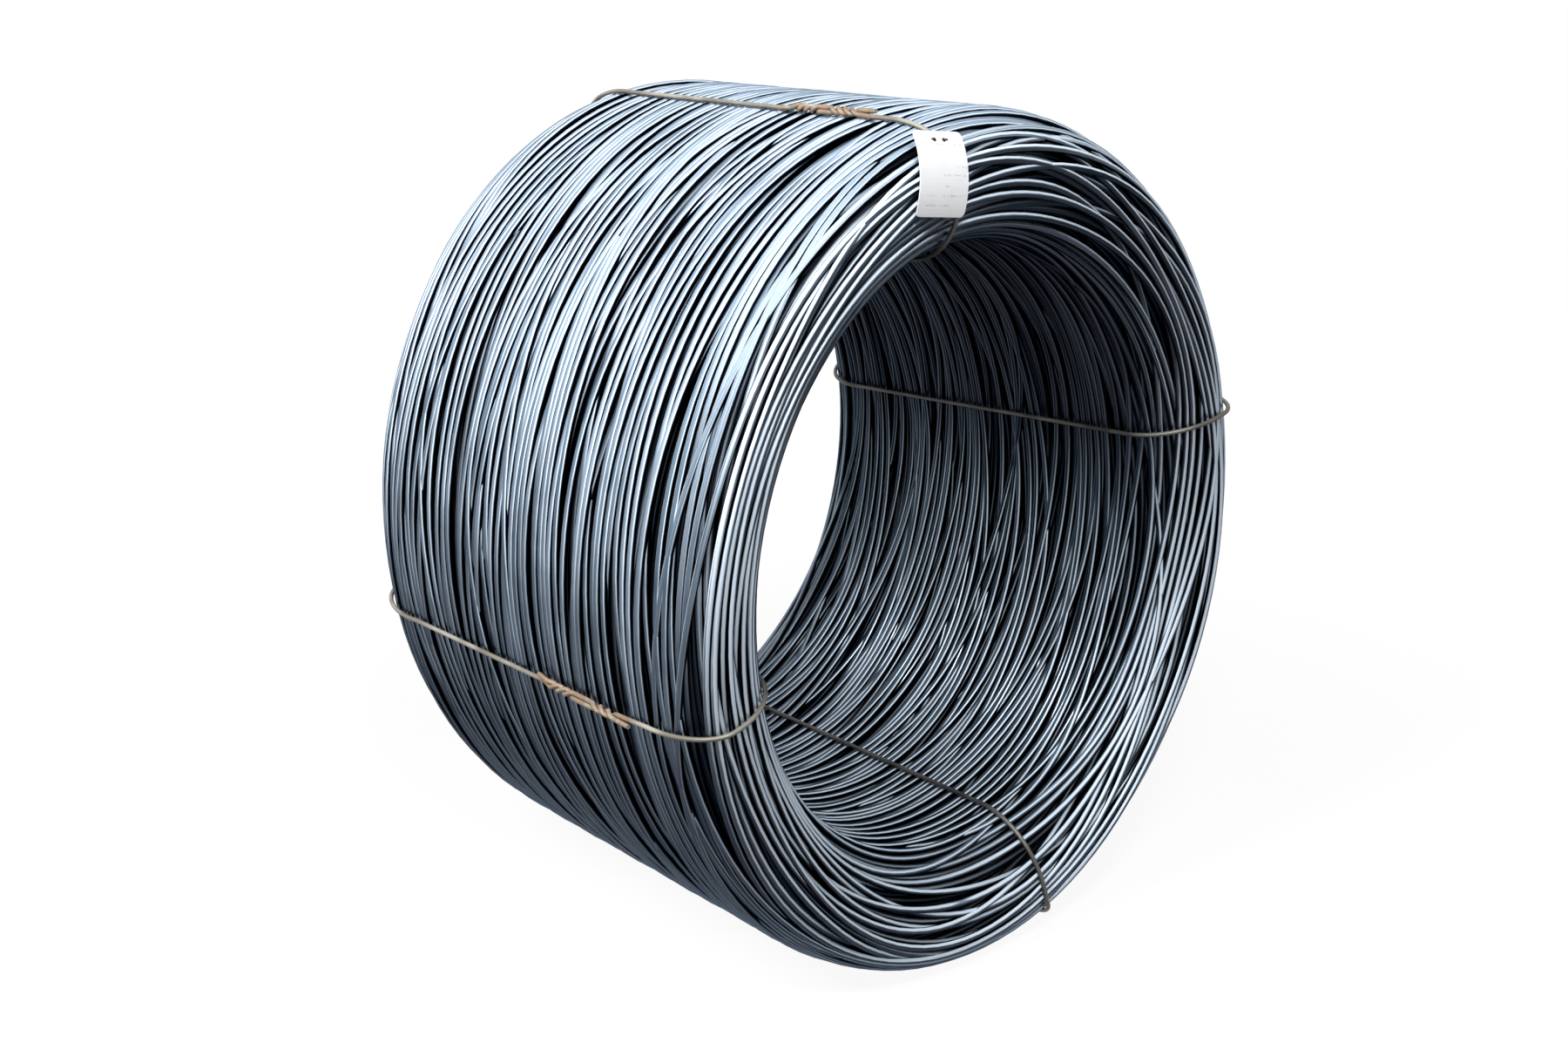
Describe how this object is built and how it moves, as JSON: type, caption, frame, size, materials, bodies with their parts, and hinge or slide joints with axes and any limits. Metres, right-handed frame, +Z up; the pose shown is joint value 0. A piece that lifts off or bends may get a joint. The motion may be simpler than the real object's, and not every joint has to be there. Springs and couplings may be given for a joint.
{
  "type": "coil of wire rod",
  "caption": "Steel wire rod wound into a thick ring with rounded ends, lying on its side and held by spliced tie wires, with a bent blank tag.",
  "frame": {"origin": "on the floor under the middle of the coil, on the pressed-flat patch that it lies on", "axes": "+Z up; Y is the winding axis and the direction of the bore, with the tagged front end facing -Y; the coil stands taller along Z than it is wide along X"},
  "size_m": [1.1284, 0.8919, 1.2896],
  "materials": {
    "mill_scale_rod": "hot-rolled steel with blue-grey mill scale, half gloss",
    "tie_wire": "annealed wire, dull khaki grey with rusty splices",
    "tag": "white sheet, blank apart from faint grey marks",
    "tag_clip": "black annealed wire"
  },
  "bodies": {
    "root": {"rod_coil": "mill_scale_rod", "tie_wire_top": "tie_wire", "tie_wire_right": "tie_wire", "tie_wire_bottom": "tie_wire", "tie_wire_left": "tie_wire", "tag": "tag", "tag_clip": "tag_clip"}
  },
  "joints": []
}
